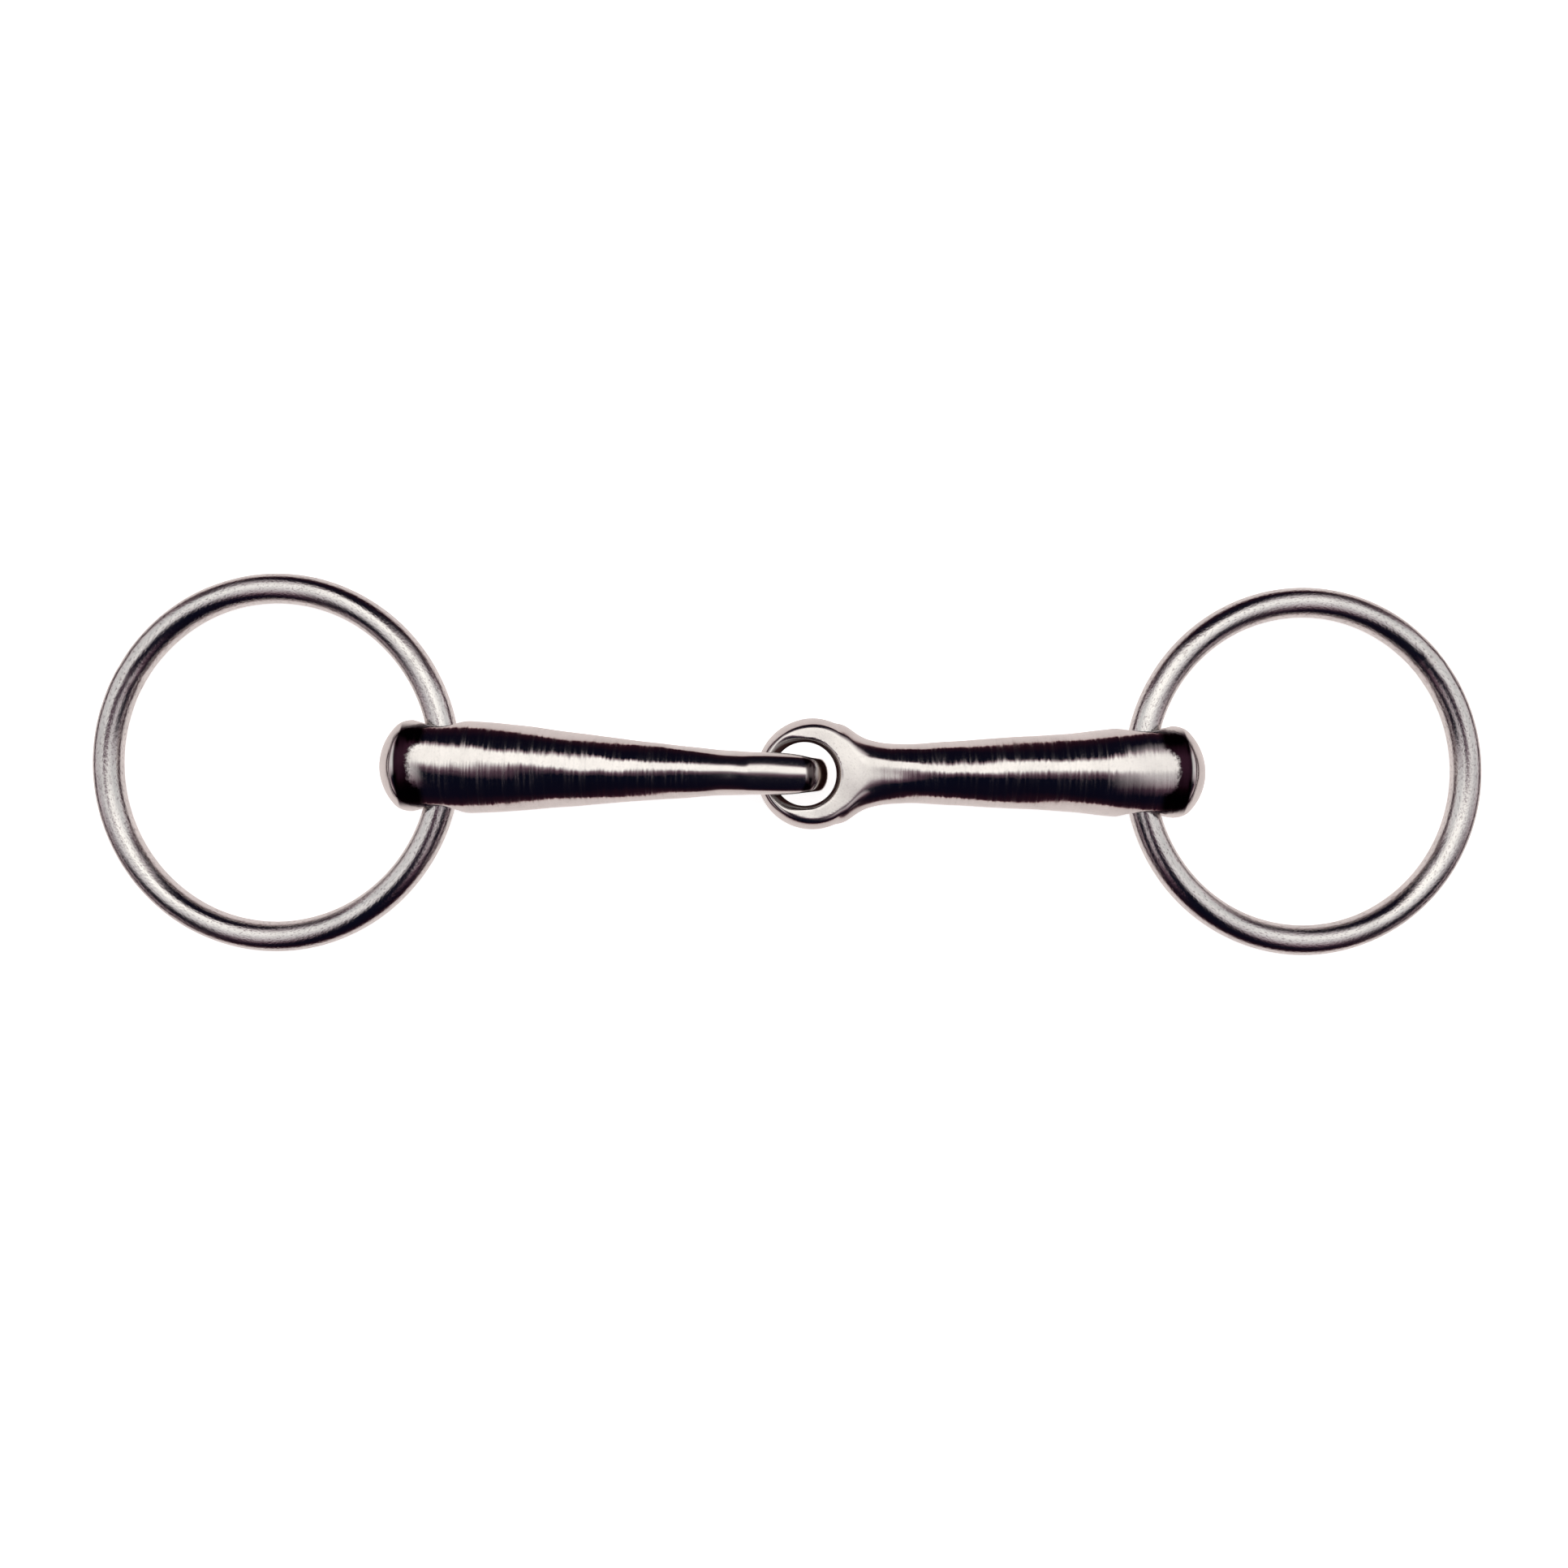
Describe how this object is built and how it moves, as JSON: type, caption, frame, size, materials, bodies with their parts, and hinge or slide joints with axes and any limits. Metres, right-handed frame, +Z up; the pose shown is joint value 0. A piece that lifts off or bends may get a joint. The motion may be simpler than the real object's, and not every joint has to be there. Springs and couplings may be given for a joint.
{
  "type": "snaffle bit",
  "caption": "Single-jointed loose-ring snaffle bit: tapered polished steel cannons linked eye to eye, with a round wire ring running loose through each butt.",
  "frame": {"origin": "centre of the footprint, on the surface the bit lies on", "axes": "+X along the mouthpiece from the upright eye's cannon to the flat eye's cannon, +Y across it, +Z up"},
  "size_m": [0.2704, 0.0738, 0.0212],
  "materials": {
    "polished_steel": "mirror polished stainless steel with fine polishing lines round the bar",
    "ring_steel": "polished stainless steel wire, lightly pitted and worn",
    "weld_steel": "weld metal ground flush and polished",
    "core_steel": "plain steel, hidden"
  },
  "bodies": {
    "left_cannon": {"left_cannon": "polished_steel"},
    "centre_core": {"centre_core": "core_steel"},
    "right_cannon": {"right_cannon": "polished_steel"},
    "left_ring_core": {"left_ring_core": "core_steel"},
    "left_ring": {"left_ring": "ring_steel", "left_ring_weld": "weld_steel"},
    "right_ring_core": {"right_ring_core": "core_steel"},
    "right_ring": {"right_ring": "ring_steel", "right_ring_weld": "weld_steel"}
  },
  "joints": [
    {"name": "mouthpiece_fold", "type": "hinge", "parent": "left_cannon", "child": "centre_core", "pos_m": [-0.00258, -0.00188, 0.0106], "axis": [0.0234, 0.9997, 0], "range_deg": [-120, 120]},
    {"name": "mouthpiece_side_fold", "type": "hinge", "parent": "centre_core", "child": "right_cannon", "pos_m": [0.00457, -0.00187, 0.0104], "axis": [0.0226, 0.0001, 0.9997], "range_deg": [-120, 120]},
    {"name": "left_ring_swing", "type": "hinge", "parent": "left_cannon", "child": "left_ring_core", "pos_m": [-0.06604, -0.00039, 0.00905], "axis": [0.0234, 0.9997, 0], "range_deg": [-155, 155]},
    {"name": "left_ring_run", "type": "hinge", "parent": "left_ring_core", "child": "left_ring", "pos_m": [-0.09889, 0.00038, 0.006], "axis": [-0.0923, 0.0022, 0.9957], "continuous": true},
    {"name": "right_ring_swing", "type": "hinge", "parent": "right_cannon", "child": "right_ring_core", "pos_m": [0.06805, -0.00154, 0.00897], "axis": [0.0052, -1, 0], "range_deg": [-155, 155]},
    {"name": "right_ring_run", "type": "hinge", "parent": "right_ring_core", "child": "right_ring", "pos_m": [0.09989, -0.00137, 0.00596], "axis": [0.094, 0.0005, 0.9956], "continuous": true}
  ]
}
